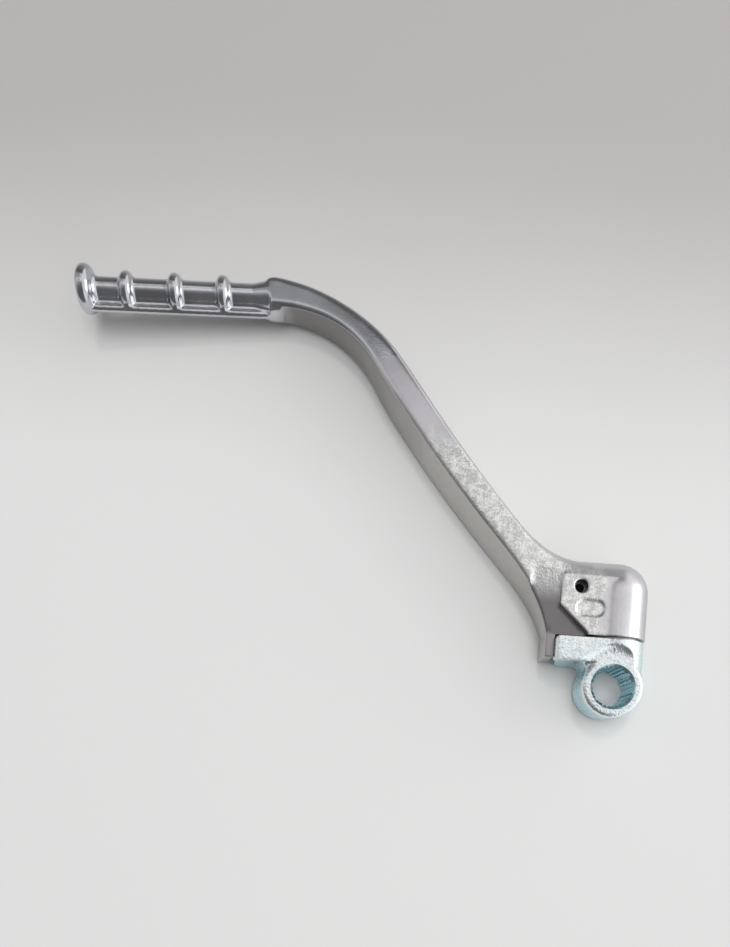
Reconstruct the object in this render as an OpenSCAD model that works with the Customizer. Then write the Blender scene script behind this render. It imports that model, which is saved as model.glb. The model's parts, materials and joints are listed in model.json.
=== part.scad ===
// Folding kick start lever for a motorcycle engine.
// A steel splined knuckle fits the kick shaft. An aluminium arm with a ribbed
// foot peg turns on the knuckle's spindle and is shown folded in.
// Millimetres. Origin: centre of the splined bore at the face that looks up
// (+Z along the bore). +Y runs along the fold axis, from the eye to the head.

/* [Splined eye] */
// Length of the splined bore
eye_len = 21; // [17:0.5:26]
// Outer radius of the eye
eye_r = 12.5; // [11.6:0.1:13.4]
// Rounding of the eye's outer edges
eye_edge = 1.6; // [0.8:0.1:2]
// Number of splines
teeth = 30; // [20:1:36]
// Radius at the spline tips
spline_tip_r = 7.95; // [7:0.05:8.3]
// Depth of the spline grooves
spline_depth = 0.75; // [0.4:0.05:1]
// Lead-in chamfer beyond the spline roots
bore_chamfer = 0.5; // [0.2:0.1:0.8]

/* [Knuckle] */
// Height of the thrust face above the eye's centre
thrust_y = 19.2; // [17.5:0.1:22]
// Height of the stop flange along the fold axis
flange_h = 9.8; // [7:0.1:11]
// Reach of the stop horn from the fold axis
horn_reach = 25.4; // [23.5:0.1:29]
// Reach of the relieved half of the flange from the fold axis
relief_reach = 23.4; // [20:0.1:24]
// How far the flange face stands above the eye's face
flange_proud = 1.5; // [0.6:0.1:2]
// Offset of the fold axis from the eye's centre
fold_x = 1; // [-1:0.1:2]
// Radius of the neck below the thrust face
neck_r = 12.6; // [11:0.1:13]
// Radius of the spindle
spindle_r = 6.2; // [5.4:0.1:6.8]
// Length of the spindle above the thrust face
spindle_len = 26; // [24:0.5:27]
// Radius of the flat spot face around the eye
spot_r = 13.3; // [12.8:0.1:14]
// Width of the hollow round the spot face
spot_rim = 3.4; // [2:0.1:4]

/* [Head] */
// Outer radius of the pivot barrel
barrel_r = 13; // [12.3:0.1:14]
// Height of the barrel up to the start of its dome
barrel_h = 19; // [17.5:0.5:24]
// Half of the head's thickness across its flat faces
head_half = 12; // [11:0.1:12.2]
// Distance of the raised pad's left edge from the fold axis
pad_reach = 24.8; // [22:0.1:26]
// Thickness of the bush wall
bush_wall = 1.45; // [1:0.05:1.8]
// Length of each bush
bush_len = 6.6; // [5:0.1:6.8]
// Thickness of the thrust washer
washer_t = 0.7; // [0.5:0.1:1.2]
// Rounding where the arm's upper right edge runs into the head
crown_r = 8.5; // [5:0.5:10]
// Slope of the recess beside the raised pad, in degrees
recess_slope = 9; // [6:0.5:12]
// Thickness of the stop lug
lug_t = 3.7; // [3:0.1:5]
// Drop of the stop lug below the head's lower face
lug_drop = 9.3; // [6:0.1:10]

/* [Detent] */
// Radius of the detent ball
ball_r = 2.5; // [2:0.1:2.6]
// Depth of the ball's groove in the spindle
groove_depth = 1.2; // [0.8:0.1:1.5]
// Radius of the spring pin
pin_r = 2.5; // [2:0.1:2.6]
// Distance of the spring pin from the fold axis
pin_reach = 16.8; // [16:0.1:18]
// Height of the detent above the thrust face
detent_up = 20.3; // [20:0.1:20.8]
// Wire radius of the detent spring
wire_r = 0.4; // [0.25:0.05:0.5]
// Turns of the detent spring
spring_turns = 3.5; // [2.5:0.5:4]

/* [Arm] */
// Half width of the arm at its flat faces
arm_half_w = 5.9; // [5.2:0.1:6.8]
// Extra half width at the parting line
arm_bulge = 1; // [0.4:0.1:1.6]
// How much wider the lower face is than the upper one, on each side
arm_spread = 1.8; // [0:0.1:2.4]
// Rounding of the arm's edges
arm_round = 2.5; // [1.5:0.1:3.5]
// Length of the arm from the bend to the head
arm_len = 86.6; // [78:0.2:95]
// How much the arm straightens along its length, in degrees
arm_turn = 7.5; // [4:0.5:12]
// Direction of the arm below the bend, in degrees
arm_slope = 54.7; // [50:0.1:60]
// Radius of the bend
bend_r = 66; // [60:1:72]
// Half width of the section where the peg ends
bend_half_w = 6.5; // [6:0.1:7.2]
// Half thickness of the section where the peg ends
bend_half_t = 6.8; // [5.5:0.1:8]
// How much narrower the section is halfway round the bend, on each side
bend_waist = 1.5; // [0:0.1:2]

/* [Foot peg] */
// Length of the peg from the bend to its tip
peg_len = 81; // [78:0.5:95]
// Fall of the peg towards its tip, in degrees
peg_fall = 4.9; // [0:0.1:8]
// Lift of the peg towards the upper side, in degrees
peg_lift = 5.7; // [0:0.1:8]
// Radius of the round rail along the peg
rail_r = 4.8; // [4.3:0.1:5.2]
// Half height of the peg
peg_half_h = 7.3; // [6.8:0.1:8]
// Number of ribs
ribs = 3; // [2:1:3]
// Spacing of the ribs
rib_pitch = 19.4; // [17:0.1:21]
// Place of the first rib from the bend
rib_start = 23; // [22:0.1:25]
// Width of a rib's crest
rib_w = 3.8; // [2.5:0.1:5]
// How far the ribs stand above the rail
rib_proud = 2.2; // [1.2:0.1:3]
// How far the end flange stands above the rail
end_proud = 4.4; // [3.8:0.1:5.4]
// Half thickness of the peg's web
web_half = 1.1; // [1:0.1:1.4]
// Half width of the peg's lower edge
lip_half = 1.5; // [1.5:0.1:2.2]
// Thickness of the peg's lower lip
lip_t = 0.6; // [0.6:0.1:1.6]
// How much further the peg reaches below its axis than above it
peg_drop = -0.8; // [-1.2:0.1:0.2]

/* [Hidden] */
$fn = 96;
fit = 0.04;                 // running clearance on a radius
seat = 0.02;                // clearance of a seated piece
mid_z = -eye_len / 2;       // plane of the forging's parting line
bottom_z = mid_z - head_half;
top_z = mid_z + head_half;
bore_r = spindle_r + fit;
bush_r = bore_r + bush_wall;
head_y = thrust_y + washer_t + 0.1;
dome_y = head_y + barrel_h;
seal_r = bush_wall / 2;
seal_y = head_y + 0.25 + seal_r;
bush1_y = seal_y + seal_r + 0.25;
bush2_y = bush1_y + bush_len + 0.6;
bush_end = bush2_y + bush_len + seat;
detent_y = thrust_y + detent_up;
bore_end = thrust_y + spindle_len + 0.4;
ball_x = fold_x - spindle_r + groove_depth - ball_r;
pin_x = fold_x - pin_reach;
lug_x = fold_x - horn_reach - 0.05;
lug_out = lug_x - lug_t;

// Places a child that is modelled along +Z onto the fold axis, along +Y.
module on_fold_axis(y) {
    translate([fold_x, y, mid_z])
        rotate([-90, 0, 0])
            children();
}

// Turned ring with its lower face at z = 0.
module ring(r_out, r_in, h) {
    difference() {
        cylinder(r = r_out, h = h);
        translate([0, 0, -1])
            cylinder(r = r_in, h = h + 2);
    }
}

// Cylinder along +Z with a chamfer at each end.
module pin_body(r, h, c) {
    rotate_extrude()
        polygon([[0, 0], [r - c, 0], [r, c], [r, h - c], [r - c, h], [0, h]]);
}

// Knuckle

module eye_body() {
    translate([0, 0, -eye_len])
        rotate_extrude()
            union() {
                translate([0, eye_edge])
                    square([eye_r, eye_len - 2 * eye_edge]);
                square([eye_r - eye_edge, eye_len]);
                translate([eye_r - eye_edge, eye_edge])
                    circle(r = eye_edge, $fn = 32);
                translate([eye_r - eye_edge, eye_len - eye_edge])
                    circle(r = eye_edge, $fn = 32);
            }
}

module flange_outline() {
    c = 1.6;
    x0 = fold_x - horn_reach;
    y0 = thrust_y - flange_h;
    translate([x0 + c, y0])
        square([fold_x + 4 - x0, flange_h]);
    translate([x0, y0 + c])
        square([c + 1, flange_h - 2 * c]);
    translate([x0 + c, y0 + c])
        circle(r = c, $fn = 32);
    translate([x0 + c, thrust_y - c])
        circle(r = c, $fn = 32);
}

// Section of the flange across the fold axis: a horn on the upper side that
// meets the arm's lug, and a round relief below it that the lug swings past.
module flange_section() {
    up = eye_len / 2 + flange_proud;
    down = head_half - 0.3;
    intersection() {
        circle(r = relief_reach, $fn = 160);
        translate([-relief_reach, -down])
            square([relief_reach + 3, down + up]);
    }
    polygon([[-horn_reach + 1.0, up], [0, up], [0, 2], [-horn_reach + 3, 2],
        [-horn_reach, 4.5], [-horn_reach, up - 1.0]]);
}

module flange_body() {
    intersection() {
        translate([0, 0, mid_z - 20])
            linear_extrude(height = 40)
                flange_outline();
        on_fold_axis(thrust_y - flange_h - 1)
            linear_extrude(height = flange_h + 2)
                mirror([0, 1])
                    flange_section();
    }
}

// Concave fillet between the flange and the left of the eye.
module flange_fillet() {
    f = 3;
    y0 = thrust_y - flange_h;
    cy = y0 - f;
    // the fillet runs into the eye a little, so that it ends on a clean edge
    cx = -sqrt(pow(eye_r + f - 0.15, 2) - cy * cy);
    k = (eye_r - 1.5) / (eye_r + f);
    translate([0, 0, bottom_z + 0.3])
        linear_extrude(height = eye_len / 2 + head_half - 0.3 - eye_edge)
            difference() {
                polygon([[cx, y0 + 1], [cx, cy], [cx * k, cy * k], [cx * k + 5, y0 + 1]]);
                translate([cx, cy])
                    circle(r = f, $fn = 48);
            }
}

module neck_body() {
    intersection() {
        on_fold_axis(2)
            cylinder(r = neck_r, h = thrust_y - 2);
        translate([fold_x - 20, 0, bottom_z + 0.3])
            cube([40, 40, 40]);
    }
}

// Flat cut round the eye, with a hollow rim that runs up the flange.
module spot_face() {
    rim_h = 2.2;
    rotate_extrude()
        polygon(concat(
            [[0, 0], [spot_r, 0]],
            [for (a = [15:15:75]) [spot_r + spot_rim * sin(a), rim_h * (1 - cos(a))]],
            [[spot_r + spot_rim, rim_h], [spot_r + spot_rim, 8], [0, 8]]));
}

module spline_bore() {
    root_r = spline_tip_r + spline_depth;
    pitch = 360 / teeth;
    half_top = root_r * sin(pitch * 0.17);
    half_low = spline_tip_r * sin(pitch * 0.33);
    translate([0, 0, -eye_len - 5]) {
        cylinder(r = spline_tip_r, h = eye_len + 10, $fn = 120);
        for (i = [0:teeth - 1])
            rotate([0, 0, i * pitch])
                linear_extrude(height = eye_len + 10)
                    polygon([[spline_tip_r - 0.6, half_low + 0.05], [spline_tip_r - 0.6, -half_low - 0.05],
                        [root_r, -half_top], [root_r, half_top]]);
    }
    lead_r = root_r + bore_chamfer;
    for (m = [0, 1])
        translate([0, 0, -m * eye_len])
            mirror([0, 0, m])
                translate([0, 0, -lead_r + spline_tip_r])
                    cylinder(r1 = spline_tip_r - 0.2, r2 = lead_r + 0.3, h = lead_r - spline_tip_r + 0.5);
}

module spindle() {
    on_fold_axis(thrust_y - 1)
        pin_body(spindle_r, spindle_len + 1, 0.8);
}

module splined_knuckle() {
    color("gainsboro")
        difference() {
            union() {
                difference() {
                    union() {
                        eye_body();
                        flange_body();
                        flange_fillet();
                        neck_body();
                    }
                    spot_face();
                    translate([0, 0, -eye_len])
                        mirror([0, 0, 1])
                            spot_face();
                }
                spindle();
            }
            spline_bore();
            on_fold_axis(detent_y)
                rotate_extrude()
                    translate([fold_x - ball_x, 0])
                        circle(r = ball_r + 0.05, $fn = 48);
        }
}

// Arm: a loft from the peg, round the bend and down into the head

function lerp(a, b, t) = a + (b - a) * t;
function ease(t) = t <= 0 ? 0 : t >= 1 ? 1 : t * t * (3 - 2 * t);
function bez(p, t) = pow(1 - t, 3) * p[0] + 3 * t * pow(1 - t, 2) * p[1]
    + 3 * t * t * (1 - t) * p[2] + t * t * t * p[3];
function dir(a) = [cos(a), sin(a)];
function perp(a) = [-sin(a), cos(a)];

peg_base = [-148, 152.3];
bend_base = [-160, 153.95];
peg_base_z = mid_z - 1.5;
turn1 = peg_fall + arm_slope;
len1 = bend_r * turn1 * PI / 180;
c1 = bend_base - bend_r * perp(peg_fall);
r2 = arm_len * 180 / (PI * arm_turn);
p1 = c1 + bend_r * perp(-arm_slope);
c2 = p1 + r2 * perp(-arm_slope);

// Centre line at the distance s from the bend's base, as [point, heading].
function path(s) =
    s < len1 ? let (h = peg_fall - s / bend_r * 180 / PI) [c1 + bend_r * perp(h), h]
    : let (h = -arm_slope + (s - len1) / r2 * 180 / PI) [c2 - r2 * perp(h), h];

// The section swells from the rail to the bend over a short shoulder.
shoulder_s = 2.5;
shoulder_len = 7.5;
s_end = len1 + arm_len;
arm_end = path(s_end);
left_end = arm_end[0] - arm_half_w * perp(arm_end[1]);
right_end = arm_end[0] + arm_half_w * perp(arm_end[1]);
left_curve = [left_end, left_end + 28 * dir(arm_end[1]), [lug_out - 1.5, head_y + 5], [lug_out, head_y + 1]];
right_curve = [right_end, right_end + 8 * dir(arm_end[1]), [fold_x - 26, dome_y + barrel_r - 0.9],
    [fold_x - 12, dome_y + barrel_r - 1.2]];

// Left point, right point, upper z, lower z, bulge, edge rounding, spread, and
// the rounding of the upper right edge, which grows into the head's crown.
function arm_section(s) =
    let (q = path(s), k = ease((s - 4) / (len1 * 1.35 - 4)), sh = ease((s - shoulder_s) / shoulder_len),
        w = lerp(bend_half_w, arm_half_w, ease(s / len1)) - bend_waist * pow(sin(180 * min(1, s / len1 / 1.2)), 2)
            - 1.6 * (1 - sh),
        zc = lerp(peg_base_z, mid_z, k),
        h = lerp(lerp(rail_r - 0.3, bend_half_t, sh), head_half, k))
    [q[0] - w * perp(q[1]), q[0] + w * perp(q[1]), zc + h, zc - h,
        arm_bulge * k, lerp(2.2, arm_round, k), arm_spread * k, lerp(2.2, arm_round, k)];
function flare_section(t) =
    [bez(left_curve, t), bez(right_curve, t), top_z - 0.5 * ease(t),
        bottom_z, arm_bulge, arm_round, arm_spread * (1 - ease(t)), lerp(arm_round, crown_r, ease(t * 1.3))];

corner_steps = 5;
function corner(cx, cy, r, a0) =
    [for (i = [0:corner_steps]) let (a = a0 + 90 * i / corner_steps) [cx + r * cos(a), cy + r * sin(a)]];
function section_points(q) =
    let (l = q[0], r = q[1], e = (r - l) / norm(r - l), m = (l + r) / 2,
        w = norm(r - l) / 2, zc = (q[2] + q[3]) / 2, h = (q[2] - q[3]) / 2, rc = q[5], rr = q[7],
        flat = concat([[w + q[4], 0]], corner(w - rr, h - rr, rr, 0), corner(rc - w, h - rc, rc, 90),
            [[-w - q[4], 0]], corner(rc - w - q[6], rc - h, rc, 180), corner(w + q[6] - rc, rc - h, rc, 270)))
    [for (p = flat) [m[0] + e[0] * p[0], m[1] + e[1] * p[0], zc + p[1]]];

shoulder_rings = 5;
bend_rings = 22;
arm_rings = 12;
flare_rings = 20;
loft_rings = concat(
    [for (i = [0:shoulder_rings - 1]) section_points(arm_section(shoulder_s + shoulder_len * i / shoulder_rings))],
    [for (i = [0:bend_rings]) section_points(arm_section(lerp(shoulder_s + shoulder_len, len1, i / bend_rings)))],
    [for (i = [1:arm_rings]) section_points(arm_section(len1 + arm_len * i / arm_rings))],
    [for (i = [1:flare_rings]) section_points(flare_section(i / flare_rings))]);
ring_n = len(loft_rings[0]);

module loft(rings) {
    n = len(rings[0]);
    m = len(rings);
    pts = [for (r = rings) for (p = r) p];
    side = [for (j = [0:m - 2]) for (i = [0:n - 1]) let (a = j * n + i, b = j * n + (i + 1) % n)
        each [[a, b + n, b], [a, a + n, b + n]]];
    cap0 = [for (i = [1:n - 2]) [0, i, i + 1]];
    cap1 = [for (i = [1:n - 2]) [(m - 1) * n, (m - 1) * n + i + 1, (m - 1) * n + i]];
    polyhedron(points = pts, faces = concat(side, cap0, cap1));
}

// Foot peg, modelled along -X from the bend

// Half width of the peg's outline, as a polygon over the distance along it.
module peg_profile() {
    translate([-4, 0])
        square([peg_len - 0.5, rail_r]);
    for (i = [0:ribs - 1])
        translate([rib_start + i * rib_pitch, 0])
            polygon(concat([[-rib_w / 2 - 1.9, 0]],
                [for (t = [0:0.125:1]) [-rib_w / 2 - 1.9 + 2.7 * t, rail_r + rib_proud * ease(t)]],
                [for (t = [1:-0.125:0]) [rib_w / 2 + 1.9 - 2.7 * t, rail_r + rib_proud * ease(t)]],
                [[rib_w / 2 + 1.9, 0]]));
    polygon(concat([[peg_len - 13, 0]],
        [for (t = [0:0.1:1]) [peg_len - 11.8 + 7.4 * t, rail_r + end_proud * ease(t)]],
        [for (a = [90:-15:0]) [peg_len - 2.4 + 2.4 * cos(a), rail_r + end_proud - 3.6 + 3.6 * sin(a)]],
        [[peg_len, 0]]));
    polygon([[-4, 0], [-4, rail_r + 0.6], [3.5, rail_r + 0.6], [8.5, rail_r + 0.3], [15, rail_r], [15, 0]]);
}

module peg_shape() {
    up = peg_half_h - rail_r;
    low = peg_half_h + peg_drop + up;
    y0 = -peg_half_h - peg_drop;
    // round upper half: the outline turned about the rail's axis
    translate([0, up, 0])
        rotate([0, -90, 0])
            intersection() {
                rotate_extrude()
                    mirror([1, 0])
                        rotate([0, 0, 90])
                            peg_profile();
                translate([-30, 0, -10])
                    cube([60, 30, peg_len + 20]);
            }
    // lower half: the same outline drawn straight down and narrowed to a lip
    intersection() {
        translate([0, up, 0])
            rotate([90, 0, 0])
                linear_extrude(height = low)
                    union() {
                        mirror([1, 0])
                            peg_profile();
                        mirror([1, 0])
                            mirror([0, 1])
                                peg_profile();
                    }
        rotate([0, -90, 0])
            translate([0, 0, -6])
                linear_extrude(height = peg_len + 7)
                    polygon(concat(
                        [for (a = [0:10:70]) [(rail_r + end_proud) * cos(a), up - low * sin(a)]],
                        [[lip_half, y0], [-lip_half, y0]],
                        [for (a = [70:-10:0]) [-(rail_r + end_proud) * cos(a), up - low * sin(a)]]));
        // the tip's lower corner is cut back
        linear_extrude(height = 60, center = true)
            polygon([[2, up + 2], [-peg_len - 1, up + 2], [-peg_len - 0.2, up], [-peg_len + 0.1, y0 + 4],
                [-peg_len + 0.7, y0 + 1.8], [-peg_len + 1.6, y0 + 0.5], [-peg_len + 2.8, y0 - 0.3],
                [-peg_len + 4, y0 - 1], [2, y0 - 1]]);
    }
}

// Pocket in the web, open to one side, with round ends.
module pocket(a, b) {
    lo = -peg_half_h - peg_drop + lip_t;
    hi = peg_half_h - rail_r - 2;
    c = 1.3;
    translate([-b, lo, web_half])
        linear_extrude(height = 12)
            union() {
                translate([c, 0])
                    square([b - a - 2 * c, hi - lo]);
                translate([0, c])
                    square([b - a, hi - lo - 2 * c]);
                for (x = [c, b - a - c])
                    for (y = [c, hi - lo - c])
                        translate([x, y])
                            circle(r = c, $fn = 32);
            }
}

module peg_pockets() {
    s = rib_w / 2 + 1.3;
    for (m = [0, 1])
        mirror([0, 0, m]) {
            pocket(rib_start - rib_pitch + s - 3.2, rib_start - s);
            for (i = [0:ribs - 1])
                pocket(rib_start + i * rib_pitch + s,
                    i < ribs - 1 ? rib_start + (i + 1) * rib_pitch - s : peg_len - 9.5);
        }
}

// Places a child that is modelled along -X onto the peg's axis.
module on_peg() {
    translate([peg_base[0], peg_base[1], peg_base_z])
        rotate([0, 0, peg_fall])
            rotate([0, peg_lift, 0])
                children();
}

// Head of the arm

module head_block() {
    x0 = lug_out + 1.2;
    intersection() {
        translate([x0, head_y, mid_z])
            rotate([90, 0, 90])
                linear_extrude(height = fold_x - x0)
                    intersection() {
                        translate([0, -head_half])
                            square([60, 2 * head_half]);
                        union() {
                            translate([0, -head_half])
                                square([barrel_h, 2 * head_half]);
                            translate([barrel_h, 0])
                                circle(r = barrel_r);
                        }
                    }
        translate([0, 0, bottom_z - 1])
            linear_extrude(height = 40)
                polygon([[x0, head_y], [fold_x, head_y], [fold_x, dome_y + barrel_r],
                    [fold_x - 22, dome_y + barrel_r], [x0 + 1.8, head_y + 14], [x0, head_y + 3.5]]);
    }
}

module head_recess() {
    // sloping recess beside the raised pad, over the stop lug
    pl = fold_x - pad_reach;
    intersection() {
        translate([0, 0, mid_z])
            linear_extrude(height = 30)
                polygon([[lug_out - 8, head_y - 5], [lug_out - 8, dome_y + 20], [pl, dome_y + 20],
                    [pl, head_y + 11.5], [pl + 11.8, head_y + 0.8], [pl + 11.8, head_y - 5]]);
        translate([lug_out - 20, dome_y + 7, top_z - 0.4])
            rotate([recess_slope, 0, 0])
                translate([0, -60, 0])
                    cube([80, 80, 30]);
    }
}

module barrel() {
    on_fold_axis(head_y)
        cylinder(r = barrel_r, h = barrel_h);
    translate([fold_x, dome_y, mid_z])
        rotate([-90, 0, 0])
            sphere(r = barrel_r);
}

module stop_lug() {
    z0 = bottom_z + 1.5;
    h = 2 * head_half - 6;
    translate([lug_out, head_y - lug_drop, z0])
        cube([lug_t, lug_drop + 4, h]);
}

module badge_recess() {
    // long round-ended recess, left bare
    translate([pin_x + 4.1, detent_y - 8.7, top_z - 0.7])
        rotate([0, 0, -1])
            linear_extrude(height = 5)
                union() {
                    square([4.9, 6.9], center = true);
                    for (x = [-2.45, 2.45])
                        translate([x, 0])
                            circle(r = 3.45);
                }
}

module head_bores() {
    on_fold_axis(head_y - 1)
        cylinder(r = bush_r, h = bush_end - head_y + 1);
    on_fold_axis(head_y)
        cylinder(r = bore_r + 0.02, h = bore_end - head_y);
    // drilling for the ball and spring, made from the right
    translate([pin_x, detent_y, mid_z])
        rotate([0, 90, 0])
            cylinder(r = ball_r + 0.05, h = pin_reach + barrel_r + 2);
    // spring pin hole with its countersink
    translate([pin_x, detent_y, bottom_z + 3])
        cylinder(r = pin_r + seat, h = 40);
    translate([pin_x, detent_y, top_z - 0.7])
        cylinder(r1 = pin_r, r2 = pin_r + 0.9, h = 1.4);
}

module lever_arm() {
    color("silver")
        difference() {
            union() {
                difference() {
                    union() {
                        loft(loft_rings);
                        head_block();
                    }
                    head_recess();
                }
                stop_lug();
                intersection() {
                    barrel();
                    translate([fold_x - 30, 0, bottom_z])
                        cube([60, 90, 60]);
                }
                on_peg()
                    peg_shape();
            }
            head_bores();
            badge_recess();
            on_peg()
                peg_pockets();
            // keep the lower face and the space over the knuckle clear
            translate([lug_x, head_y - 15, bottom_z - 5])
                cube([60, 15, 40]);
            translate([-200, -50, bottom_z - 20])
                cube([300, 300, 20]);
        }
}

// Small pieces on the fold axis

module lower_bush() {
    color("darkgoldenrod")
        on_fold_axis(bush1_y)
            ring(bush_r - seat, bore_r, bush_len);
}

module upper_bush() {
    color("darkgoldenrod")
        on_fold_axis(bush2_y)
            ring(bush_r - seat, bore_r, bush_len);
}

module thrust_washer() {
    color("lightgray")
        on_fold_axis(thrust_y + 0.05)
            ring(barrel_r - 1.6, bore_r + 0.2, washer_t);
}

module seal_ring() {
    color("dimgray")
        on_fold_axis(seal_y)
            rotate_extrude()
                translate([bore_r + seal_r, 0])
                    circle(r = seal_r - seat, $fn = 32);
}

module detent_ball() {
    color("lightgray")
        translate([ball_x, detent_y, mid_z])
            sphere(r = ball_r);
}

module detent_spring() {
    x0 = pin_x + pin_r + seat + wire_r;
    x1 = ball_x - ball_r + 0.25 - wire_r;
    r = ball_r - wire_r - 0.25;
    n = 16;
    k = 8;
    steps = spring_turns * n;
    color("slategray")
        translate([0, detent_y, mid_z])
            loft([for (j = [0:steps]) let (a = j * 360 / n, x = lerp(x0, x1, j / steps))
                [for (i = [0:k - 1]) let (b = i * 360 / k, q = r + wire_r * cos(b))
                    [x - wire_r * sin(b), q * cos(a), q * sin(a)]]]);
}

module spring_pin() {
    h = 2 * head_half - 8;
    color("slategray")
        translate([pin_x, detent_y, bottom_z + 3.2])
            difference() {
                ring(pin_r, pin_r - 0.6, h);
                translate([-pin_r - 1, -0.3, -1])
                    cube([pin_r, 0.6, h + 2]);
            }
}

module drill_plug() {
    x0 = fold_x + bore_r + 1.2;
    color("lightgray")
        intersection() {
            translate([x0, detent_y, mid_z])
                rotate([0, 90, 0])
                    cylinder(r = ball_r + 0.03, h = 10);
            translate([fold_x, detent_y - 0.7, mid_z])
                sphere(r = barrel_r - 0.3);
        }
}

lever_arm();
splined_knuckle();
lower_bush();
upper_bush();
thrust_washer();
seal_ring();
detent_ball();
detent_spring();
spring_pin();
drill_plug();
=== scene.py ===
import bpy
import json
import math
from mathutils import Matrix, Vector

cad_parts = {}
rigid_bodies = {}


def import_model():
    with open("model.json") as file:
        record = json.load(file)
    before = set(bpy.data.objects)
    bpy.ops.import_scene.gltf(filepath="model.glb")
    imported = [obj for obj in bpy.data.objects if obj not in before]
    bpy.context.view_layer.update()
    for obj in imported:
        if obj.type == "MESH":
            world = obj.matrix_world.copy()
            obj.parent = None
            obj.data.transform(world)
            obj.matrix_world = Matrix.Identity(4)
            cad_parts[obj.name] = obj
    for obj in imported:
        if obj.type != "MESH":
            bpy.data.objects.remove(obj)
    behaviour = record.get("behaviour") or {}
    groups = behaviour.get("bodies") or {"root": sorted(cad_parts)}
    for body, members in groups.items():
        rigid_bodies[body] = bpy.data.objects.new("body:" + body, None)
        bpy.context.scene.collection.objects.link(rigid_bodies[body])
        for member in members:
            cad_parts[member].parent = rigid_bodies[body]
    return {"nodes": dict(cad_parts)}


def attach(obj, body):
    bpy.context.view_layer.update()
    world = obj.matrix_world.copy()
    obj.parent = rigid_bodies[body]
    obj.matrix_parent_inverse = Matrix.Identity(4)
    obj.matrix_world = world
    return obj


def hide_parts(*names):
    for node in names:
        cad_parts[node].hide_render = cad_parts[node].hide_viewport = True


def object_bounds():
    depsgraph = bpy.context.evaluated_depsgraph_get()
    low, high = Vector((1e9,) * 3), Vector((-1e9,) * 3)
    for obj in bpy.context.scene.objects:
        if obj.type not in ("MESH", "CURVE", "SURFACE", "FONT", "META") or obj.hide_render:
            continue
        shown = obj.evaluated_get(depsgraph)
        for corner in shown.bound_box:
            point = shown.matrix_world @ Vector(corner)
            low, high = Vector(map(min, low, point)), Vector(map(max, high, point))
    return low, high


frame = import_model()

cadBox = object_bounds()
nodes = frame["nodes"]
mm = 0.001


# small helpers for working as by hand
def pickOnly(*objects):
    bpy.ops.object.select_all(action="DESELECT")
    for thing in objects:
        thing.hide_set(False)
        thing.select_set(True)
    bpy.context.view_layer.objects.active = objects[0]


def applyModifier(piece, kind, **settings):
    pickOnly(piece)
    modifier = piece.modifiers.new(kind.title(), kind)
    for key, value in settings.items():
        setattr(modifier, key, value)
    bpy.ops.object.modifier_apply(modifier=modifier.name)


def copyOfNode(nodeName, pieceName):
    # a loose copy of the solid, merged into one skin
    pickOnly(nodes[nodeName])
    bpy.ops.object.duplicate()
    piece = bpy.context.view_layer.objects.active
    bpy.ops.object.parent_clear(type="CLEAR_KEEP_TRANSFORM")
    piece.name = pieceName
    piece.data.name = pieceName
    for key in list(piece.keys()):
        del piece[key]
    bpy.ops.object.mode_set(mode="EDIT")
    bpy.ops.mesh.select_all(action="SELECT")
    bpy.ops.mesh.remove_doubles(threshold=0.002 * mm)
    bpy.ops.mesh.normals_make_consistent(inside=False)
    bpy.ops.object.mode_set(mode="OBJECT")
    piece.data.materials.clear()
    return piece


def smoothShade(piece, degrees):
    pickOnly(piece)
    bpy.ops.object.shade_smooth_by_angle(angle=math.radians(degrees))


def fade(value, low, high):
    t = max(0.0, min(1.0, (value - low) / (high - low)))
    return t * t * (3 - 2 * t)


# camera: looks straight down at the table, off centre as the photograph does
cameraSet = {
    "imageWidth": 730, "imageHeight": 947,
    "focal": 741.3,               # in pixels of the photograph
    "axisX": 418.0, "axisY": 763.0,   # where the optical axis meets the picture
    "place": (-0.07665, -0.03635, 0.300),
    "turn": 4.0,                  # degrees about the vertical
}


def makeCamera(s):
    bpy.ops.object.camera_add(location=s["place"], rotation=(0, 0, math.radians(s["turn"])))
    camera = bpy.context.object
    camera.name = "photoCamera"
    camera.data.sensor_fit = "HORIZONTAL"
    camera.data.sensor_width = 36
    camera.data.lens = s["focal"] / s["imageWidth"] * 36
    camera.data.shift_x = (s["imageWidth"] / 2 - s["axisX"]) / s["imageWidth"]
    camera.data.shift_y = (s["axisY"] - s["imageHeight"] / 2) / s["imageWidth"]
    camera.data.clip_start = 0.01
    camera.data.clip_end = 20
    bpy.context.scene.camera = camera


makeCamera(cameraSet)
print("camera placed")


# shader building blocks
def addNode(tree, kind, place=(0, 0), **settings):
    node = tree.nodes.new(kind)
    node.location = place
    for key, value in settings.items():
        setattr(node, key, value)
    return node


def newGroup(name, inputs, outputs):
    group = bpy.data.node_groups.new(name, "ShaderNodeTree")
    for label, kind, default in inputs:
        socket = group.interface.new_socket(label, in_out="INPUT", socket_type=kind)
        if default is not None:
            socket.default_value = default
    for label, kind in outputs:
        group.interface.new_socket(label, in_out="OUTPUT", socket_type=kind)
    return group, addNode(group, "NodeGroupInput", (-900, 0)), addNode(group, "NodeGroupOutput", (900, 0))


def mathNode(tree, operation, a, b=None, c=None, clamp=False, place=(0, 0)):
    node = addNode(tree, "ShaderNodeMath", place, operation=operation, use_clamp=clamp)
    for i, value in enumerate((a, b, c)):
        if value is None:
            continue
        if hasattr(value, "is_output"):
            tree.links.new(value, node.inputs[i])
        else:
            node.inputs[i].default_value = value
    return node.outputs[0]


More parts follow.
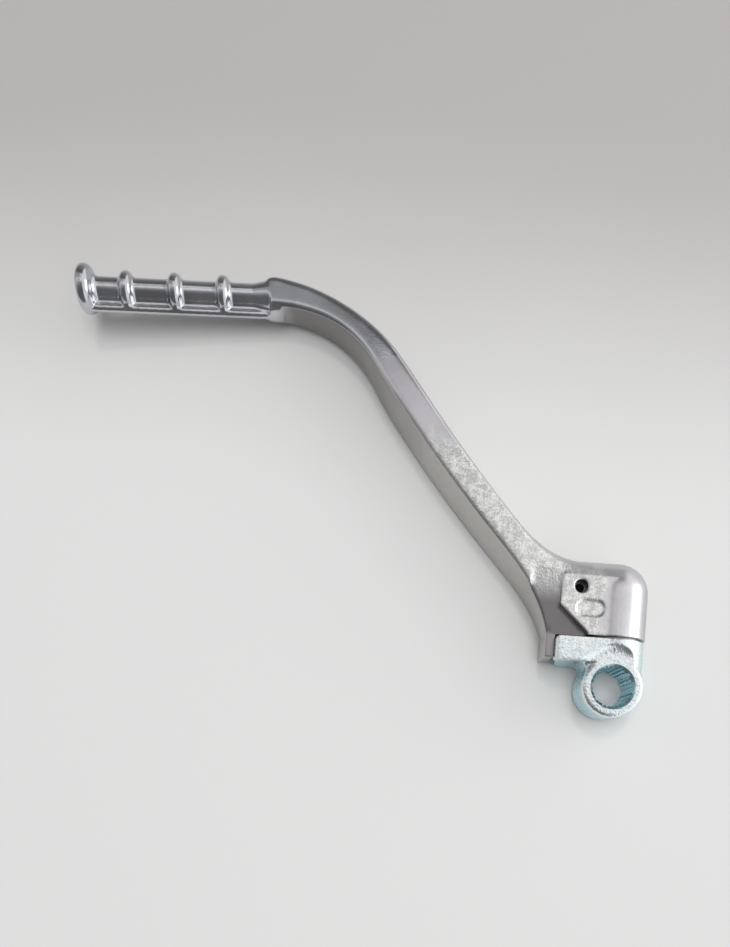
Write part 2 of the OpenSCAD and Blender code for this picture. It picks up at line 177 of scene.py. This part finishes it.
def rangeNode(tree, value, low, high, toLow=0.0, toHigh=1.0, smooth=True, place=(0, 0)):
    node = addNode(tree, "ShaderNodeMapRange", place)
    node.interpolation_type = "SMOOTHSTEP" if smooth else "LINEAR"
    tree.links.new(value, node.inputs["Value"])
    for key, number in (("From Min", low), ("From Max", high), ("To Min", toLow), ("To Max", toHigh)):
        if hasattr(number, "is_output"):
            tree.links.new(number, node.inputs[key])
        else:
            node.inputs[key].default_value = number
    return node.outputs["Result"]


def noiseNode(tree, vector, scale, detail=3.0, rough=0.55, place=(0, 0)):
    node = addNode(tree, "ShaderNodeTexNoise", place)
    tree.links.new(vector, node.inputs["Vector"])
    if hasattr(scale, "is_output"):
        tree.links.new(scale, node.inputs["Scale"])
    else:
        node.inputs["Scale"].default_value = scale
    node.inputs["Detail"].default_value = detail
    node.inputs["Roughness"].default_value = rough
    return node.outputs["Fac"]


def buildForgedSkin():
    # the pebbled skin that a die leaves on a forging, with softer waves under it
    group, start, end = newGroup(
        "forgedSkin",
        [("Vector", "NodeSocketVector", None), ("Pebble Scale", "NodeSocketFloat", 1500.0),
         ("Wave Scale", "NodeSocketFloat", 260.0)],
        [("Height", "NodeSocketFloat"), ("Mottle", "NodeSocketFloat")])
    pebbles = addNode(group, "ShaderNodeTexVoronoi", (-500, 200), feature="SMOOTH_F1")
    pebbles.inputs["Smoothness"].default_value = 0.6
    group.links.new(start.outputs["Vector"], pebbles.inputs["Vector"])
    group.links.new(start.outputs["Pebble Scale"], pebbles.inputs["Scale"])
    waves = noiseNode(group, start.outputs["Vector"], start.outputs["Wave Scale"], 4.0, 0.6, (-500, -100))
    grit = noiseNode(group, start.outputs["Vector"], start.outputs["Pebble Scale"], 2.0, 0.6, (-500, -400))
    mixed = mathNode(group, "MULTIPLY_ADD", waves, 1.4, pebbles.outputs["Distance"], place=(-200, 100))
    height = mathNode(group, "MULTIPLY_ADD", grit, 0.5, mixed, place=(0, 100))
    mottle = mathNode(group, "MULTIPLY_ADD", grit, 0.45, mathNode(group, "MULTIPLY", waves, 0.55), place=(0, -200))
    group.links.new(height, end.inputs["Height"])
    group.links.new(mottle, end.inputs["Mottle"])
    return group


def buildHandlingMarks():
    # fine scuffs and the faint cloudiness of a handled metal part
    group, start, end = newGroup(
        "handlingMarks",
        [("Vector", "NodeSocketVector", None), ("Scale", "NodeSocketFloat", 400.0)],
        [("Scuffs", "NodeSocketFloat"), ("Clouds", "NodeSocketFloat")])
    stretch = addNode(group, "ShaderNodeMapping", (-600, 200))
    stretch.inputs["Rotation"].default_value = (0.0, 0.0, math.radians(35))
    stretch.inputs["Scale"].default_value = (0.12, 1.0, 1.0)
    group.links.new(start.outputs["Vector"], stretch.inputs["Vector"])
    scuffs = noiseNode(group, stretch.outputs["Vector"], mathNode(group, "MULTIPLY", start.outputs["Scale"], 6.0), 3.0, 0.7, (-300, 200))
    clouds = noiseNode(group, start.outputs["Vector"], mathNode(group, "MULTIPLY", start.outputs["Scale"], 0.15), 4.0, 0.6, (-300, -200))
    group.links.new(rangeNode(group, scuffs, 0.56, 0.72), end.inputs["Scuffs"])
    group.links.new(rangeNode(group, clouds, 0.35, 0.68), end.inputs["Clouds"])
    return group


forgedSkin = buildForgedSkin()
handlingMarks = buildHandlingMarks()


def startMaterial(name, metallic, roughness, colour):
    material = bpy.data.materials.new(name)
    material.use_nodes = True
    tree = material.node_tree
    shader = tree.nodes["Principled BSDF"]
    shader.inputs["Metallic"].default_value = metallic
    shader.inputs["Roughness"].default_value = roughness
    shader.inputs["Base Color"].default_value = (*colour, 1)
    place = addNode(tree, "ShaderNodeTexCoord", (-1600, 0)).outputs["Object"]
    return material, tree, shader, place


def placeGroup(tree, group, vector, place, **values):
    node = addNode(tree, "ShaderNodeGroup", place)
    node.node_tree = group
    tree.links.new(vector, node.inputs["Vector"])
    for key, value in values.items():
        node.inputs[key.replace("_", " ")].default_value = value
    return node


def mixColour(tree, factor, a, b, place=(0, 0), blend="MIX"):
    node = addNode(tree, "ShaderNodeMix", place, data_type="RGBA", blend_type=blend)
    if hasattr(factor, "is_output"):
        tree.links.new(factor, node.inputs["Factor"])
    else:
        node.inputs["Factor"].default_value = factor
    for value, socket in ((a, node.inputs["A"]), (b, node.inputs["B"])):
        socket = [s for s in node.inputs if s.name == socket.name and s.type == "RGBA"][0]
        if hasattr(value, "is_output"):
            tree.links.new(value, socket)
        else:
            socket.default_value = (*value, 1)
    return [s for s in node.outputs if s.type == "RGBA"][0]


def bumpInto(tree, shader, height, strength, distance, place=(-200, -400)):
    bump = addNode(tree, "ShaderNodeBump", place)
    bump.inputs["Distance"].default_value = distance
    if hasattr(strength, "is_output"):
        tree.links.new(strength, bump.inputs["Strength"])
    else:
        bump.inputs["Strength"].default_value = strength
    tree.links.new(height, bump.inputs["Height"])
    tree.links.new(bump.outputs["Normal"], shader.inputs["Normal"])


# metals
alloyFinish = {
    "bright": (0.93, 0.925, 0.91), "dull": (0.68, 0.675, 0.665),     # blasted skin, lit grains and dark grains
    "smooth": (0.62, 0.605, 0.63), "smoothShaded": (0.36, 0.345, 0.35),  # plain skin of the arm, and the same skin darkened with painted shade in the recess and lug
    "wall": (0.47, 0.46, 0.44), "wallBend": (0.25, 0.24, 0.235),     # the drafted side walls, darkened with painted shade, and the darker painted shade on those at the bend
    "polished": (0.55, 0.555, 0.585),
    "roughSkin": 0.36, "roughSmooth": 0.28, "roughPolished": 0.15,
    "skinStart": (0.100, 0.090),    # where along the arm the plain skin gives way to the blasted one
    "polishStart": (0.122, 0.130),  # and where the polish begins
    "recess": (-0.036, -0.0118, 0.054, 0.0010),   # left, right, upper end and the height under the pad
    "wallFade": (0.085, 0.150),     # along the arm, where painted shade darkens the walls
    "padRight": -0.0065,            # right of this the head is smooth
}


def makeAlloy(s):
    material, tree, shader, place = startMaterial("forgedAlloy", 1.0, s["roughSkin"], s["bright"])
    skin = placeGroup(tree, forgedSkin, place, (-1200, 300), Pebble_Scale=1500.0, Wave_Scale=420.0)
    marks = placeGroup(tree, handlingMarks, place, (-1200, -100), Scale=420.0)
    axes = addNode(tree, "ShaderNodeSeparateXYZ", (-1200, 700))
    tree.links.new(place, axes.inputs[0])
    wobble = noiseNode(tree, place, 110.0, 2.0, 0.5, (-1200, 900))
    along = mathNode(tree, "MULTIPLY_ADD", wobble, 0.016, axes.outputs["Y"], place=(-900, 700))
    blasted = rangeNode(tree, along, s["skinStart"][0] + 0.008, s["skinStart"][1] + 0.008, 0.0, 1.0, True, (-700, 700))
    polish = rangeNode(tree, along, s["polishStart"][0] + 0.008, s["polishStart"][1] + 0.008, 0.0, 1.0, True, (-700, 900))
    # the recess beside the pad and the lug under it keep the smooth skin, darkened there with painted shade
    left, right, upper, height = s["recess"]
    sunk = rangeNode(tree, axes.outputs["Z"], height, height - 0.0022, 0.0, 1.0, True, (-700, 1100))
    sunk = mathNode(tree, "MULTIPLY", sunk, rangeNode(tree, axes.outputs["X"], left - 0.004, left, 0.0, 1.0, True, (-700, 1250)))
    sunk = mathNode(tree, "MULTIPLY", sunk, rangeNode(tree, axes.outputs["X"], right + 0.001, right, 0.0, 1.0, True, (-700, 1400)))
    sunk = mathNode(tree, "MULTIPLY", sunk, rangeNode(tree, axes.outputs["Y"], upper, upper - 0.012, 0.0, 1.0, True, (-700, 1550)))
    blasted = mathNode(tree, "MULTIPLY", blasted, mathNode(tree, "SUBTRACT", 1.0, sunk), place=(-500, 800))
    wobbleX = mathNode(tree, "MULTIPLY_ADD", wobble, 0.010, axes.outputs["X"], place=(-900, 1000))
    onPad = rangeNode(tree, wobbleX, s["padRight"] + 0.007, s["padRight"] + 0.003, 0.15, 1.0, True, (-700, 1700))
    blasted = mathNode(tree, "MULTIPLY", blasted, onPad, place=(-400, 900))
    # the blasting shows on the flat faces and the drafted walls are plainer; painted shade makes the walls darker by
    # how they face
    facing = addNode(tree, "ShaderNodeSeparateXYZ", (-1200, 1200))
    tree.links.new(addNode(tree, "ShaderNodeTexCoord", (-1400, 1200)).outputs["Normal"], facing.inputs[0])
    flat = mathNode(tree, "ABSOLUTE", facing.outputs["Z"], place=(-1000, 1200))
    wall = rangeNode(tree, flat, 0.75, 0.35, 0.0, 1.0, True, (-700, 1850))
    blasted = mathNode(tree, "MULTIPLY", blasted, rangeNode(tree, flat, 0.65, 0.93, 0.12, 1.0, True, (-700, 2000)), place=(-300, 900))
    mottle = rangeNode(tree, skin.outputs["Mottle"], 0.42, 0.58, 0.0, 1.0, True, (-700, 300))
    skinColour = mixColour(tree, mottle, s["dull"], s["bright"], (-450, 400))
    paler = tuple(c * 1.12 for c in s["smooth"])
    plain = mixColour(tree, marks.outputs["Clouds"], s["smooth"], paler, (-450, 200))
    # painted shade: the smooth skin is darker in the recess and on the lug
    plain = mixColour(tree, sunk, plain, s["smoothShaded"], (-350, 200))
    shine = mixColour(tree, marks.outputs["Clouds"], s["polished"], tuple(c * 1.15 for c in s["polished"]), (-450, 0))
    plain = mixColour(tree, polish, plain, shine, (-300, 100))
    # painted shade: the walls darken towards the bend
    shadeTowardsBend = rangeNode(tree, along, s["wallFade"][0], s["wallFade"][1], 0.0, 1.0, True, (-550, 260))
    wallTone = mixColour(tree, shadeTowardsBend, s["wall"], s["wallBend"], (-350, 260))
    onArm = rangeNode(tree, axes.outputs["X"], -0.150, -0.140, 0.0, 1.0, True, (-350, 360))
    plain = mixColour(tree, mathNode(tree, "MULTIPLY", wall, onArm), plain, wallTone, (-250, 200))
    tree.links.new(mixColour(tree, blasted, plain, skinColour, (-200, 300)), shader.inputs["Base Color"])
    roughSkin = rangeNode(tree, skin.outputs["Mottle"], 0.35, 0.65, s["roughSkin"] + 0.08, s["roughSkin"] - 0.10, True, (-700, 0))
    roughPlain = rangeNode(tree, polish, 0.0, 1.0, s["roughSmooth"], s["roughPolished"], True, (-700, -200))
    roughPlain = mathNode(tree, "MULTIPLY_ADD", marks.outputs["Clouds"], 0.05, roughPlain, place=(-500, -200))
    rough = mathNode(tree, "ADD", mathNode(tree, "MULTIPLY", roughSkin, blasted),
                     mathNode(tree, "MULTIPLY", roughPlain, mathNode(tree, "SUBTRACT", 1.0, blasted)), place=(-300, 0))
    rough = mathNode(tree, "MULTIPLY_ADD", marks.outputs["Scuffs"], 0.08, rough, clamp=True, place=(-150, 0))
    tree.links.new(rough, shader.inputs["Roughness"])
    strength = rangeNode(tree, blasted, 0.0, 1.0, 0.07, 0.65, False, (-500, -500))
    height = mathNode(tree, "MULTIPLY_ADD", marks.outputs["Scuffs"], -0.06, skin.outputs["Height"], place=(-500, -300))
    bumpInto(tree, shader, height, strength, 0.00014)
    return material


zincFinish = {"light": (0.93, 0.955, 0.955), "dark": (0.76, 0.80, 0.81), "tint": (0.36, 0.68, 0.77), "rough": 0.28}


def makeZinc(s):
    material, tree, shader, place = startMaterial("zincPlate", 1.0, s["rough"], s["light"])
    skin = placeGroup(tree, forgedSkin, place, (-1200, 300), Pebble_Scale=1100.0, Wave_Scale=420.0)
    marks = placeGroup(tree, handlingMarks, place, (-1200, -100), Scale=500.0)
    # the colour turns a darker blue down in the bore and low on the walls
    axes = addNode(tree, "ShaderNodeSeparateXYZ", (-1200, 700))
    tree.links.new(place, axes.inputs[0])
    radius = mathNode(tree, "SQRT", mathNode(tree, "ADD", mathNode(tree, "POWER", axes.outputs["X"], 2.0),
                                             mathNode(tree, "POWER", axes.outputs["Y"], 2.0)), place=(-800, 800))
    inBore = rangeNode(tree, radius, 0.0096, 0.0086, 0.0, 1.0, True, (-600, 800))
    low = rangeNode(tree, axes.outputs["Z"], -0.0005, -0.006, 0.0, 0.75, True, (-600, 600))
    boreAndLowTint = mathNode(tree, "MAXIMUM", inBore, low, place=(-400, 700))
    boreAndLowTint = mathNode(tree, "MULTIPLY_ADD", marks.outputs["Clouds"], 0.2, mathNode(tree, "MULTIPLY", boreAndLowTint, 0.8), clamp=True)
    mottle = rangeNode(tree, skin.outputs["Mottle"], 0.36, 0.52, 0.0, 1.0, True, (-700, 300))
    base = mixColour(tree, mottle, s["dark"], s["light"], (-400, 300))
    tree.links.new(mixColour(tree, boreAndLowTint, base, s["tint"], (-150, 300)), shader.inputs["Base Color"])
    rough = rangeNode(tree, skin.outputs["Mottle"], 0.35, 0.65, s["rough"] + 0.08, s["rough"] - 0.08, True, (-700, 0))
    tree.links.new(rough, shader.inputs["Roughness"])
    outside = mathNode(tree, "SUBTRACT", 1.0, inBore)
    strength = rangeNode(tree, outside, 0.0, 1.0, 0.08, 0.6, False, (-500, -500))
    bumpInto(tree, shader, skin.outputs["Height"], strength, 0.00016)
    return material


def makeSmallMetal(name, colour, roughness, grain):
    material, tree, shader, place = startMaterial(name, 1.0, roughness, colour)
    marks = placeGroup(tree, handlingMarks, place, (-900, 0), Scale=grain)
    darker = tuple(c * 0.7 for c in colour)
    tree.links.new(mixColour(tree, marks.outputs["Clouds"], darker, colour, (-400, 200)), shader.inputs["Base Color"])
    tree.links.new(rangeNode(tree, marks.outputs["Scuffs"], 0.0, 1.0, roughness, roughness + 0.15, False, (-400, -100)),
                   shader.inputs["Roughness"])
    bumpInto(tree, shader, marks.outputs["Scuffs"], 0.15, 0.00005)
    return material


def makeRubber():
    material, tree, shader, place = startMaterial("sealRubber", 0.0, 0.6, (0.02, 0.02, 0.02))
    marks = placeGroup(tree, handlingMarks, place, (-900, 0), Scale=900.0)
    tree.links.new(mixColour(tree, marks.outputs["Clouds"], (0.012, 0.012, 0.013), (0.035, 0.034, 0.033), (-400, 200)),
                   shader.inputs["Base Color"])
    bumpInto(tree, shader, marks.outputs["Clouds"], 0.2, 0.00005)
    return material


alloy = makeAlloy(alloyFinish)
zinc = makeZinc(zincFinish)
smallMetals = {
    "lower_bush": makeSmallMetal("bushBronze", (0.62, 0.42, 0.22), 0.35, 600.0),
    "thrust_washer": makeSmallMetal("washerSteel", (0.42, 0.42, 0.43), 0.35, 700.0),
    "detent_ball": makeSmallMetal("ballSteel", (0.75, 0.75, 0.76), 0.12, 900.0),
    "detent_spring": makeSmallMetal("springSteel", (0.22, 0.22, 0.24), 0.35, 1200.0),
    "drill_plug": makeSmallMetal("plugAlloy", (0.70, 0.70, 0.71), 0.34, 500.0),
}
smallMetals["upper_bush"] = smallMetals["lower_bush"]
smallMetals["spring_pin"] = smallMetals["detent_spring"]
smallMetals["seal_ring"] = makeRubber()
for nodeName, material in smallMetals.items():
    node = nodes[nodeName]
    node.data.materials.clear()
    node.data.materials.append(material)
print("metals ready")


# the aluminium forging
pegSet = {
    "base": (-148.0, 152.3, -12.0), "fall": 4.9, "lift": 5.7,      # where the peg starts and how it lies, mm and degrees
    "railFrom": -2.0, "railTo": 79.0, "railRadius": 4.8, "railUp": 2.5,
    "ribs": (23.0, 42.4, 61.8), "ribRing": 4.7, "ribRound": 2.6,    # a rib is a ring of round section
    "ribFoot": 3.6, "ribShoulder": 6.0, "post": 2.1,                # its flared foot, and the upright under it
    "endAt": 78.0, "endRing": 6.2, "endRound": 3.0, "endFlare": (73.5, 76.5, 7.4),
    "collarFrom": 3.0, "collarTo": 10.5, "collarRadius": 6.6,       # the flare where the peg leaves the bend
    "web": 1.2, "lip": 1.6, "bottom": -6.5,
    "sides": 96,
}


def addRod(s, low, high, up, wide, narrow):
    # a round bar along the peg, from low to high out of the bend
    bpy.ops.mesh.primitive_cone_add(vertices=s["sides"], radius1=wide * mm, radius2=narrow * mm, depth=(high - low) * mm,
                                    location=(-(low + high) / 2 * mm, up * mm, 0), rotation=(0, math.radians(-90), 0))
    return bpy.context.object


def addRing(s, at, ring, thick):
    bpy.ops.mesh.primitive_torus_add(major_segments=s["sides"], minor_segments=32, major_radius=ring * mm, minor_radius=thick * mm,
                                     location=(-at * mm, s["railUp"] * mm, 0), rotation=(0, math.radians(90), 0))
    return bpy.context.object


def makePeg(s):
    up, radius = s["railUp"], s["railRadius"]
    pieces = [addRod(s, s["railFrom"], s["railTo"], up, radius, radius),
              addRod(s, s["collarFrom"], s["collarTo"], up, s["collarRadius"], radius),
              addRod(s, s["railFrom"], s["endAt"], s["bottom"] + s["lip"], s["lip"], s["lip"]),
              addRod(s, s["endAt"] - s["endRound"] * 0.8, s["endAt"] + s["endRound"] * 0.8, up, s["endRing"], s["endRing"]),
              addRing(s, s["endAt"], s["endRing"], s["endRound"])]
    low, high, wide = s["endFlare"]
    pieces.append(addRod(s, low, high, up, radius, wide))
    for at in s["ribs"]:
        pieces.append(addRing(s, at, s["ribRing"], s["ribRound"]))
        pieces.append(addRod(s, at - s["ribFoot"], at, up, radius, s["ribShoulder"]))
        pieces.append(addRod(s, at, at + s["ribFoot"], up, s["ribShoulder"], radius))
        bpy.ops.mesh.primitive_cylinder_add(vertices=32, radius=s["post"] * mm, depth=(up - s["bottom"] - s["lip"]) * mm,
                                            location=(-at * mm, (up + s["bottom"] + s["lip"]) / 2 * mm, 0),
                                            rotation=(math.radians(90), 0, 0))
        pieces.append(bpy.context.object)
    # the thin web hangs under the rail down to the lip
    low, high = s["bottom"] + s["lip"], up
    bpy.ops.mesh.primitive_cube_add(size=1, location=(-(s["railFrom"] + s["endAt"]) / 2 * mm, (low + high) / 2 * mm, 0),
                                    scale=((s["endAt"] - s["railFrom"]) * mm, (high - low) * mm, 2 * s["web"] * mm))
    pieces.append(bpy.context.object)
    pickOnly(*pieces)
    bpy.ops.object.transform_apply(location=True, rotation=True, scale=True)
    bpy.ops.object.join()
    peg = bpy.context.object
    peg.matrix_world = pegPlace(s)
    bpy.ops.object.transform_apply(location=True, rotation=True, scale=True)
    return peg


def pegPlace(s):
    return (Matrix.Translation(Vector(s["base"]) * mm) @ Matrix.Rotation(math.radians(s["fall"]), 4, "Z")
            @ Matrix.Rotation(math.radians(s["lift"]), 4, "Y"))


armSet = {
    "grid": 0.34, "edgeRounds": 6, "faces": 185000,      # grid in mm
    "armRounds": 40, "pegRounds": 18, "shoulderRounds": 36, "headRounds": 9,
    "edgeSpot": (-36.0, 42.0, 9.0), "spotRounds": 40,    # a place on the left edge that needs easing
    "cutAt": 5.0,       # how far out from the bend the solid's own peg is cut off
}


def smoothZone(piece, name, rounds, weigh):
    group = piece.vertex_groups.new(name=name)
    for v in piece.data.vertices:
        weight = weigh(v.co / mm)
        if weight > 0:
            group.add([v.index], weight, "REPLACE")
    applyModifier(piece, "SMOOTH", factor=0.5, iterations=rounds, vertex_group=name)
    piece.vertex_groups.clear()


def makeArm(s):
    piece = copyOfNode("lever_arm", "forgedLever")
    peg = makePeg(pegSet)
    # the solid's peg gives way to the rounded one
    place = pegPlace(pegSet)
    outward = place.to_3x3() @ Vector((-1, 0, 0))
    pickOnly(piece)
    bpy.ops.object.mode_set(mode="EDIT")
    bpy.ops.mesh.select_all(action="SELECT")
    bpy.ops.mesh.bisect(plane_co=place.translation + outward * s["cutAt"] * mm, plane_no=outward,
                        use_fill=True, clear_outer=True, clear_inner=False)
    bpy.ops.object.mode_set(mode="OBJECT")
    pickOnly(piece, peg)
    bpy.ops.object.join()
    applyModifier(piece, "REMESH", mode="VOXEL", voxel_size=s["grid"] * mm, adaptivity=0.0)
    applyModifier(piece, "SMOOTH", factor=0.5, iterations=s["edgeRounds"])
    # the plain stretch between peg and head is smoothed further, so no ring of the loft shows
    smoothZone(piece, "plainArm", s["armRounds"], lambda p: fade(p.x, -150, -140) * (1 - fade(p.x, -38, -27)))
    smoothZone(piece, "peg", s["pegRounds"], lambda p: 1 - fade(p.x, -156, -150))
    smoothZone(piece, "shoulder", s["shoulderRounds"], lambda p: fade(p.x, -159, -154) * (1 - fade(p.x, -142, -134)))
    spotX, spotY, reach = s["edgeSpot"]
    smoothZone(piece, "edgeSpot", s["spotRounds"], lambda p: 1 - fade(math.hypot(p.x - spotX, p.y - spotY), 3.0, reach))
    smoothZone(piece, "head", s["headRounds"], lambda p: fade(p.x, -38, -28) * fade(p.y, 19.5, 23))
    applyModifier(piece, "DECIMATE", ratio=min(1.0, s["faces"] / (2 * len(piece.data.polygons))))
    smoothShade(piece, 60)
    piece.data.materials.append(alloy)
    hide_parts("lever_arm")
    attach(piece, "lever")
    return piece


arm = makeArm(armSet)
print("forged lever", len(arm.data.polygons))


# the steel knuckle: forged body, then the splines cut crisp
knuckleSet = {
    "grid": 0.36, "edgeRounds": 3,
    "teeth": 30, "tipRadius": 7.95, "rootRadius": 8.70, "flank": 0.24,
    "eyeLength": 21.0, "leadChamfer": 0.5,
    "fillet": (-10.5, 8.5, 6.0), "filletRounds": 26,    # place and reach in mm
}


def makeSplineCutter(s):
    # a rod with three sides to each tooth: two of them are drawn out together into the root of the spline
    sides = s["teeth"] * 3
    bpy.ops.mesh.primitive_cylinder_add(vertices=sides, radius=s["tipRadius"] * mm, depth=(s["eyeLength"] + 6) * mm,
                                        location=(0, 0, -s["eyeLength"] / 2 * mm))
    cutter = bpy.context.object
    cutter.name = "splineCutter"
    bpy.ops.object.transform_apply(location=True, rotation=True, scale=True)
    bpy.ops.object.mode_set(mode="EDIT")
    bpy.ops.mesh.select_mode(type="FACE")
    bpy.ops.mesh.select_all(action="DESELECT")
    bpy.ops.object.mode_set(mode="OBJECT")
    for face in cutter.data.polygons:
        turn = math.atan2(face.center.y, face.center.x) / math.tau % 1
        face.select = abs(face.normal.z) < 0.5 and int(turn * sides) % 3 != 2
    bpy.ops.object.mode_set(mode="EDIT")
    bpy.ops.mesh.inset(thickness=s["flank"] * mm, depth=(s["rootRadius"] - s["tipRadius"]) * mm)
    bpy.ops.mesh.select_mode(type="VERT")
    bpy.ops.object.mode_set(mode="OBJECT")
    return cutter


def makeLeadCutter(s, top):
    wide, narrow = s["rootRadius"] + s["leadChamfer"] + 0.6, s["tipRadius"] - 0.1
    height = wide - narrow
    middle = 0.6 - height / 2 if top else -s["eyeLength"] - 0.6 + height / 2
    bpy.ops.mesh.primitive_cone_add(vertices=120, radius1=(narrow if top else wide) * mm, radius2=(wide if top else narrow) * mm,
                                    depth=height * mm, location=(0, 0, middle * mm))
    cutter = bpy.context.object
    bpy.ops.object.transform_apply(location=True, rotation=True, scale=True)
    return cutter


def makeKnuckle(s):
    piece = copyOfNode("splined_knuckle", "forgedKnuckle")
    # the bore is filled first, so that the forged body is rounded without its teeth
    bpy.ops.mesh.primitive_cylinder_add(vertices=96, radius=(s["rootRadius"] + 0.9) * mm, depth=s["eyeLength"] * mm,
                                        location=(0, 0, -s["eyeLength"] / 2 * mm))
    plug = bpy.context.object
    bpy.ops.object.transform_apply(location=True, rotation=True, scale=True)
    pickOnly(piece, plug)
    bpy.ops.object.join()
    applyModifier(piece, "REMESH", mode="VOXEL", voxel_size=s["grid"] * mm, adaptivity=0.0)
    applyModifier(piece, "SMOOTH", factor=0.5, iterations=s["edgeRounds"])
    # the fillet between flange and eye is run together
    x, y, reach = s["fillet"]
    smoothZone(piece, "fillet", s["filletRounds"], lambda p: 1 - fade(math.hypot(p.x - x, p.y - y), 2.5, reach))
    for cutter in (makeSplineCutter(s), makeLeadCutter(s, True), makeLeadCutter(s, False)):
        applyModifier(piece, "BOOLEAN", operation="DIFFERENCE", solver="EXACT", object=cutter)
        bpy.data.objects.remove(cutter, do_unlink=True)
    smoothShade(piece, 28)
    piece.data.materials.clear()
    piece.data.materials.append(zinc)
    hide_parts("splined_knuckle")
    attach(piece, "knuckle")
    return piece


knuckle = makeKnuckle(knuckleSet)
print("forged knuckle", len(knuckle.data.polygons))


# table, sky and lamps
tableSet = {
    "top": cadBox[0].z, "size": 6.0,
    "near": (0.600, 0.598, 0.590), "far": (0.385, 0.372, 0.366),   # painted shade: the paper is darker behind the lever
    "shadeFrom": 0.085, "shadeTo": 0.27,
}


def makeTable(s):
    bpy.ops.mesh.primitive_plane_add(size=s["size"], location=(0, 0, s["top"] - 0.00002))
    table = bpy.context.object
    table.name = "table"
    material, tree, shader, place = startMaterial("tableTop", 0.0, 0.6, s["near"])
    axes = addNode(tree, "ShaderNodeSeparateXYZ", (-1200, 400))
    tree.links.new(place, axes.inputs[0])
    clouds = noiseNode(tree, place, 7.0, 3.0, 0.5, (-900, 200))
    specks = noiseNode(tree, place, 650.0, 1.0, 0.4, (-900, -100))
    behind = mathNode(tree, "MULTIPLY_ADD", clouds, 0.03, axes.outputs["Y"], place=(-900, 400))
    # painted shade: the table colour darkens behind the lever, in place of light falling off
    tone = mixColour(tree, rangeNode(tree, behind, s["shadeFrom"], s["shadeTo"]), s["near"], s["far"], (-400, 200))
    tone = mixColour(tree, rangeNode(tree, specks, 0.90, 0.93), tone, (0.35, 0.34, 0.32), (-200, 200))
    tree.links.new(tone, shader.inputs["Base Color"])
    shader.inputs["Specular IOR Level"].default_value = 0.2
    table.data.materials.append(material)


makeTable(tableSet)

lampSet = {
    # name: place, size, watts, tint, mirrored in metal, lights the table
    "keyLamp": ((-0.10, 0.90, 2.40), (0.25, 0.25), 8.0, (1.0, 0.99, 0.975), False, True),
    "fillPanel": ((-0.06, -0.02, 1.5), (0.9, 0.9), 14.0, (0.98, 0.99, 1.0), False, True),
    "rightWindow": ((1.15, 0.25, 0.42), (0.9, 0.75), 4.0, (0.98, 0.99, 1.0), True, True),
}


def makeLamps(s):
    for name, (place, size, watts, tint, mirrored, lights) in s.items():
        bpy.ops.object.light_add(type="AREA", location=place)
        lamp = bpy.context.object
        lamp.name = name
        lamp.data.shape = "RECTANGLE"
        lamp.data.size, lamp.data.size_y = size
        lamp.data.energy = watts
        lamp.data.color = tint
        lamp.visible_glossy = mirrored
        lamp.visible_diffuse = lights
        aim = Vector((-0.08, 0.06, 0)) - Vector(place)
        lamp.rotation_euler = aim.to_track_quat("-Z", "Y").to_euler()


makeLamps(lampSet)

# how bright the room is in each direction: bright above the table, dark behind it and over the viewer
skySet = {
    "byY": ((-1.0, 0.14), (-0.47, 0.14), (-0.33, 0.18), (-0.19, 0.25), (-0.05, 0.38), (0.10, 0.62), (0.26, 0.80), (0.36, 0.50),
            (0.50, 0.40), (0.60, 0.38), (0.635, 0.14), (0.81, 0.14), (0.91, 0.22), (1.0, 0.30)),
    "middle": ((-1.0, 0.0), (0.02, 0.0), (0.10, 0.24), (0.20, 0.34), (0.31, 0.30), (0.40, 0.16), (0.46, 0.20),
               (0.52, 0.60), (0.595, 0.95), (0.62, 0.05), (0.65, 0.0), (1.0, 0.0)),
    "middleFrom": -0.22, "middleTo": -0.15,      # across the table
    "rightFrom": 0.22, "rightTo": 0.56, "rightLevel": 2.2,
    "pale": (0.72, 0.72, 0.71),
}


def rampNode(tree, value, stops, place=(0, 0)):
    # a row of (direction, level) pairs as one smooth ramp, directions from -1 to 1
    ramp = addNode(tree, "ShaderNodeValToRGB", place)
    ramp.color_ramp.interpolation = "EASE"
    marks = ramp.color_ramp.elements
    while len(marks) > 1:
        marks.remove(marks[0])
    for i, (at, level) in enumerate(stops):
        mark = marks[0] if i == 0 else marks.new((at + 1) / 2)
        mark.position = (at + 1) / 2
        mark.color = (level, level, level, 1)
    tree.links.new(rangeNode(tree, value, -1.0, 1.0, 0.0, 1.0, False, (place[0] - 200, place[1])), ramp.inputs["Fac"])
    return ramp.outputs["Color"]


def makeSky(s):
    world = bpy.data.worlds.new("studio")
    bpy.context.scene.world = world
    world.use_nodes = True
    tree = world.node_tree
    background = tree.nodes["Background"]
    direction = addNode(tree, "ShaderNodeTexCoord", (-1400, 0)).outputs["Generated"]
    axes = addNode(tree, "ShaderNodeSeparateXYZ", (-1200, 0))
    tree.links.new(direction, axes.inputs[0])
    level = rampNode(tree, axes.outputs["Y"], s["byY"], (-800, 100))
    across = rangeNode(tree, axes.outputs["X"], s["middleFrom"], s["middleTo"], 0.0, 1.0, True, (-800, 400))
    middle = mathNode(tree, "MULTIPLY", rampNode(tree, axes.outputs["Y"], s["middle"], (-800, 250)), across, place=(-550, 250))
    level = mathNode(tree, "ADD", level, middle, place=(-450, 150))
    right = rangeNode(tree, axes.outputs["X"], s["rightFrom"], s["rightTo"], 0.0, s["rightLevel"], True, (-800, -200))
    level = mathNode(tree, "ADD", level, right, place=(-500, 0))
    seen = addNode(tree, "ShaderNodeLightPath", (-600, 300)).outputs["Is Camera Ray"]
    grey = mixColour(tree, level, (0.0, 0.0, 0.0), (1.0, 1.0, 1.01), (-350, 0))
    tree.links.new(mixColour(tree, seen, grey, s["pale"], (-150, 0)), background.inputs["Color"])
    background.inputs["Strength"].default_value = 1.0


makeSky(skySet)
bpy.context.scene.view_settings.view_transform = "Standard"
print("stage lit")
